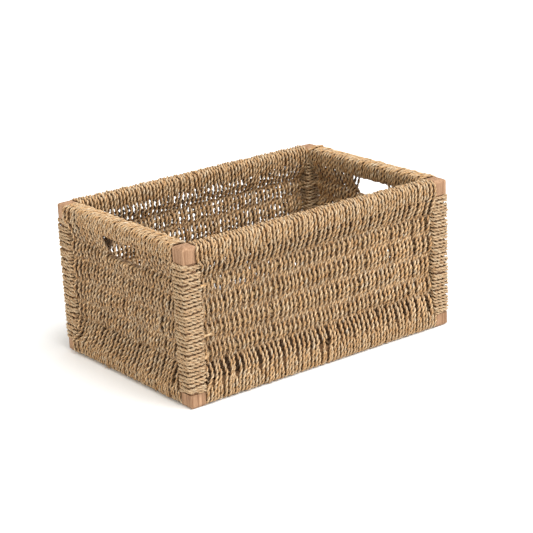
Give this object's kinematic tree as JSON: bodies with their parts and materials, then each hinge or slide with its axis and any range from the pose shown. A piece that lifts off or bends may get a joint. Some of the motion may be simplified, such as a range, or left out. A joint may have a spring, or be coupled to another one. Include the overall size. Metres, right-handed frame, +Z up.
{
  "type": "storage basket",
  "caption": "Open-topped rectangular storage basket of twisted seagrass cord woven over a wooden corner-post frame, with a hand hole in each end.",
  "frame": {"origin": "middle of the footprint, on the floor", "axes": "+X along the long sides to the right, +Y towards the back, +Z up; the pictured long side faces -Y and the pictured end faces -X"},
  "size_m": [0.42, 0.281, 0.2015],
  "materials": {
    "post_timber": "sanded bare hardwood, open vertical grain",
    "rail_timber": "bare wood with rounded edges, hidden under the cord",
    "cane": "peeled cane rod, matt",
    "seagrass_cord": "two-ply twisted dried seagrass, matt with a slight waxy sheen"
  },
  "bodies": {
    "root": {"post_front_left": "post_timber", "post_front_right": "post_timber", "post_back_left": "post_timber", "post_back_right": "post_timber", "top_rail_front": "rail_timber", "top_rail_back": "rail_timber", "top_rail_left": "rail_timber", "top_rail_right": "rail_timber", "bottom_rail_front": "rail_timber", "bottom_rail_back": "rail_timber", "bottom_rail_left": "rail_timber", "bottom_rail_right": "rail_timber", "stake_front_1": "cane", "stake_front_2": "cane", "stake_front_3": "cane", "stake_front_4": "cane", "stake_back_1": "cane", "stake_back_2": "cane", "stake_back_3": "cane", "stake_back_4": "cane", "stake_left_1": "cane", "stake_left_2": "cane", "stake_left_3": "cane", "stake_left_4": "cane", "stake_right_1": "cane", "stake_right_2": "cane", "stake_right_3": "cane", "stake_right_4": "cane", "base_stake_1": "cane", "base_stake_2": "cane", "base_stake_3": "cane", "base_stake_4": "cane", "base_stake_5": "cane", "base_stake_6": "cane", "weave_front": "seagrass_cord", "weave_back": "seagrass_cord", "weave_left": "seagrass_cord", "weave_right": "seagrass_cord", "weave_base": "seagrass_cord", "post_wrap_front_left": "seagrass_cord", "post_wrap_front_right": "seagrass_cord", "post_wrap_back_left": "seagrass_cord", "post_wrap_back_right": "seagrass_cord"}
  },
  "joints": []
}
